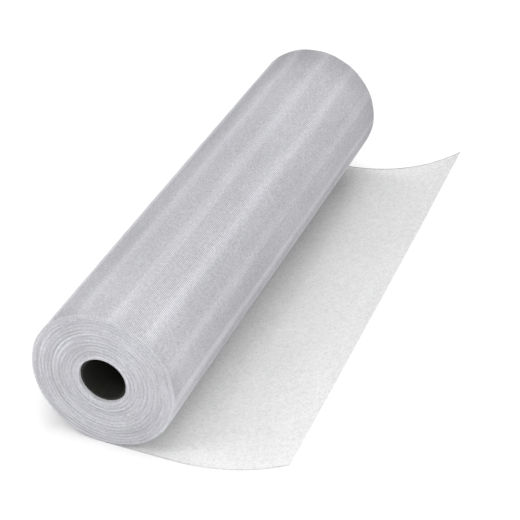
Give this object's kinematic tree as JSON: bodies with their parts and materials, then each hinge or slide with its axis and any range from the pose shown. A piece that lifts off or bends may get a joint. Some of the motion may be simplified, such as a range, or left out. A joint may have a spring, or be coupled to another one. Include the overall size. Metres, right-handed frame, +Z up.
{
  "type": "roll of aluminium insect screen",
  "caption": "Roll of woven aluminium insect screen on a black core tube, lying on its side with its free end run out over the floor and curling up.",
  "frame": {"origin": "on the floor, straight below the middle of the roll's axis", "axes": "+X is the way the screen runs out from the roll, +Y is along the roll's axis, away from the end that the picture shows, and +Z is up"},
  "size_m": [0.2769, 0.61, 0.1557],
  "materials": {
    "screen": "bright drawn wire, woven, pale grey from a short way off",
    "core": "black, matt"
  },
  "bodies": {
    "root": {"insect_screen": "screen", "core_tube": "core"}
  },
  "joints": []
}
